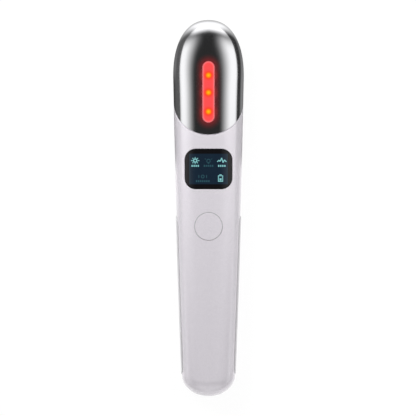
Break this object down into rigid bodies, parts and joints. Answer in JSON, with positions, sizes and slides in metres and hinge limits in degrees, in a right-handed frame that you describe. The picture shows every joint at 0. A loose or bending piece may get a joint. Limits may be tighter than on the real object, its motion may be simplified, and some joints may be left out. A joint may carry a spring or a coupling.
{
  "type": "eye massager",
  "caption": "Handheld eye massager: a tapering plastic handle with a display, a press button and side grip strips, and a slanting polished metal head with a red light window.",
  "frame": {"origin": "middle of the object's outline at the flat back face that it lies on", "axes": "+Y along the body to the metal head, +Z out of the front with the display and button, +X to its side; the body lies on its back"},
  "size_m": [0.0282, 0.1503, 0.022],
  "materials": {
    "white_plastic": "satin moulded plastic, cool white",
    "polished_metal": "mirror-polished plating on a pressed metal head",
    "plated_metal": "satin plated strip",
    "red_diffuser": "translucent red diffuser, lit from behind",
    "black_gloss": "polished tinted lens with a black border",
    "black_foam": "black closed-cell foam",
    "circuit_board": "green solder mask",
    "chip_plastic": "black moulded plastic",
    "cream_plastic": "natural nylon",
    "steel": "plain bright steel",
    "brass": "plain brass",
    "rubber": "black rubber",
    "amber_film": "amber polyimide film",
    "blue_wrap": "blue shrink wrap",
    "display_glass": "display module with a glass face",
    "wire_cover": "soft wire cover"
  },
  "bodies": {
    "handle": {"battery_cell": "blue_wrap", "battery_lead_ground": "wire_cover", "battery_lead_live": "wire_cover", "battery_socket": "cream_plastic", "board_screw_1": "steel", "board_screw_2": "steel", "board_screw_3": "steel", "board_screw_4": "steel", "cell_pad": "black_foam", "charge_lead_ground": "wire_cover", "charge_lead_live": "wire_cover", "control_chip": "chip_plastic", "display_flex": "amber_film", "display_holder": "chip_plastic", "display_lens": "black_gloss", "display_panel": "display_glass", "front_housing": "white_plastic", "head_bracket": "cream_plastic", "head_lead": "wire_cover", "head_screw_left": "steel", "head_screw_right": "steel", "head_terminal": "brass", "heater_film": "amber_film", "heater_lead_left": "wire_cover", "heater_lead_right": "wire_cover", "lamp_board": "circuit_board", "lamp_reflector": "cream_plastic", "lamp_ribbon": "amber_film", "left_contact_spring": "brass", "left_grip_electrode": "plated_metal", "lens_gasket": "black_foam", "light_window": "red_diffuser", "main_board": "circuit_board", "massage_head": "polished_metal", "motor_can": "steel", "motor_end_cap": "cream_plastic", "motor_lead_left": "wire_cover", "motor_lead_right": "wire_cover", "motor_sleeve": "rubber", "port_board": "circuit_board", "port_shell": "steel", "port_tongue": "chip_plastic", "pulse_transformer": "chip_plastic", "rear_housing": "white_plastic", "red_lamp_1": "red_diffuser", "red_lamp_2": "red_diffuser", "red_lamp_3": "red_diffuser", "right_contact_spring": "brass", "right_grip_electrode": "plated_metal", "smoothing_capacitor": "chip_plastic", "switch_body": "chip_plastic", "switch_cover": "steel", "switch_dome": "steel", "thermistor": "chip_plastic"},
    "button": {"button_cap": "white_plastic"},
    "plunger": {"switch_plunger": "cream_plastic"},
    "rotor": {"motor_shaft": "steel", "eccentric_weight": "brass"}
  },
  "joints": [
    {"name": "button_press", "type": "slide", "parent": "handle", "child": "button", "axis": [0, 0, -1], "range_m": [0, 0.00035], "stiffness_N_per_m": 2500, "springref_m": -0.0002},
    {"name": "plunger_press", "type": "slide", "parent": "handle", "child": "plunger", "axis": [0, 0, -1], "range_m": [0, 0.00035]},
    {"name": "motor_spin", "type": "hinge", "parent": "handle", "child": "rotor", "pos_m": [0, 0.04435, 0.01], "axis": [0, 1, 0], "continuous": true}
  ],
  "couplings": [
    {"joint": "plunger_press", "follows": "button_press", "ratio": 1}
  ]
}
